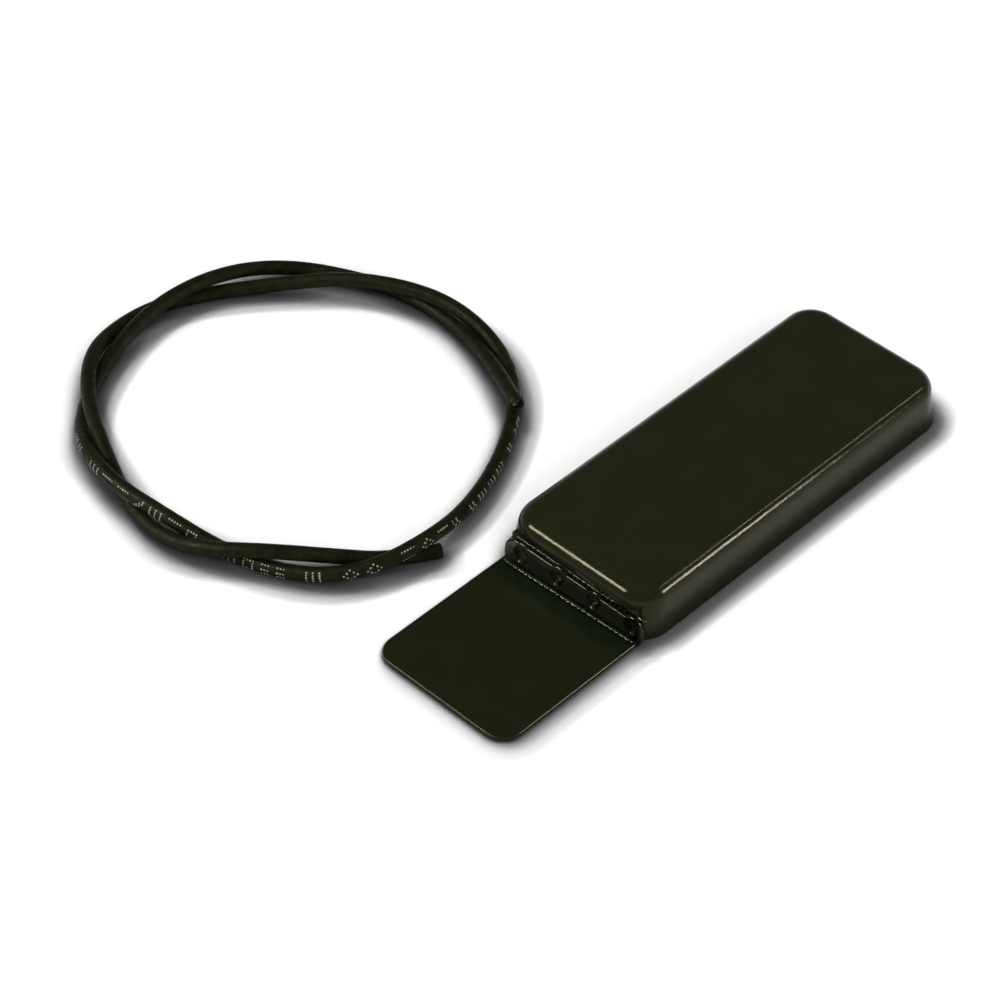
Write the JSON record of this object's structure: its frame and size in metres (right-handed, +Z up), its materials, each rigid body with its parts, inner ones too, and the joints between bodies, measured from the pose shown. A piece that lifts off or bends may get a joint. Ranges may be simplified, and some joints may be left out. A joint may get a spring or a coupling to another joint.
{
  "type": "door contact sensor",
  "caption": "Wired surface door contact: low black box with a bonded L-shaped sheet bracket at one end, reed and tamper switches inside, and a loose length of cable.",
  "frame": {"origin": "under the middle of the contact (box and bracket together, without the loose cable), on the surface it lies on", "axes": "+X runs from the bracket plate to the cable inlet end of the box, +Z is up through the cover, +Y is the side that the reed lies on"},
  "size_m": [0.1098, 0.1095, 0.0085],
  "materials": {
    "cover_lacquer": "high gloss black lacquer, slightly olive",
    "tray_plastic": "fine moulded texture",
    "foam_tape": "foam adhesive tape",
    "bracket_lacquer": "satin-gloss black lacquer on steel sheet",
    "adhesive": "cured black adhesive, glossy",
    "bead_lacquer": "glossy, uneven",
    "board": "green solder mask",
    "zinc_steel": "zinc plated",
    "reed_glass": "clear greenish glass",
    "tinned_wire": "tinned",
    "blade_metal": "nickel iron, plated contacts",
    "terminal_plastic": "moulded, ivory",
    "brass": "nickel-free brass",
    "switch_plastic": "moulded",
    "plunger_plastic": "natural acetal",
    "spring_steel": "spring wire",
    "resistor_body": "tan coating",
    "solder": "bright solder",
    "rubber": "soft moulded",
    "cable_jacket": "matte jacket with sparse light dots"
  },
  "bodies": {
    "base": {"base_tray": "tray_plastic", "mounting_pads": "foam_tape", "bracket": "bracket_lacquer", "bracket_adhesive": "adhesive", "fold_bead": "bead_lacquer", "circuit_board": "board", "board_screws": "zinc_steel", "reed_glass": "reed_glass", "reed_leads": "tinned_wire", "reed_blade_fixed": "blade_metal", "terminal_strip": "terminal_plastic", "terminal_plates": "brass", "terminal_washers": "zinc_steel", "terminal_screws": "zinc_steel", "tamper_body": "switch_plastic", "tamper_spring": "spring_steel", "tamper_pins": "tinned_wire", "line_resistors": "resistor_body", "resistor_leads": "tinned_wire", "solder_joints": "solder", "cable_grommet": "rubber", "cable_clamp": "tray_plastic", "clamp_screws": "zinc_steel"},
    "cover": {"cover": "cover_lacquer"},
    "tamper_plunger": {"tamper_plunger": "plunger_plastic"},
    "reed_blade": {"reed_blade_moving": "blade_metal"},
    "cable": {"signal_cable": "cable_jacket"}
  },
  "joints": [
    {"name": "cover_lift", "type": "slide", "parent": "base", "child": "cover", "axis": [0, 0, 1], "range_m": [0, 0.03]},
    {"name": "tamper_press", "type": "slide", "parent": "base", "child": "tamper_plunger", "axis": [0, 0, 1], "range_m": [0, 0.0006], "deforming": ["tamper_spring"]},
    {"name": "reed_close", "type": "hinge", "parent": "base", "child": "reed_blade", "pos_m": [0.01135, 0.0066, 0.00542], "axis": [0, 1, 0], "range_deg": [0, 1.2]},
    {"name": "cable_lift", "type": "slide", "parent": "base", "child": "cable", "axis": [0, 0, 1], "range_m": [0, 0.05]}
  ],
  "couplings": [
    {"joint": "tamper_press", "follows": "cover_lift", "ratio": 0.02}
  ]
}
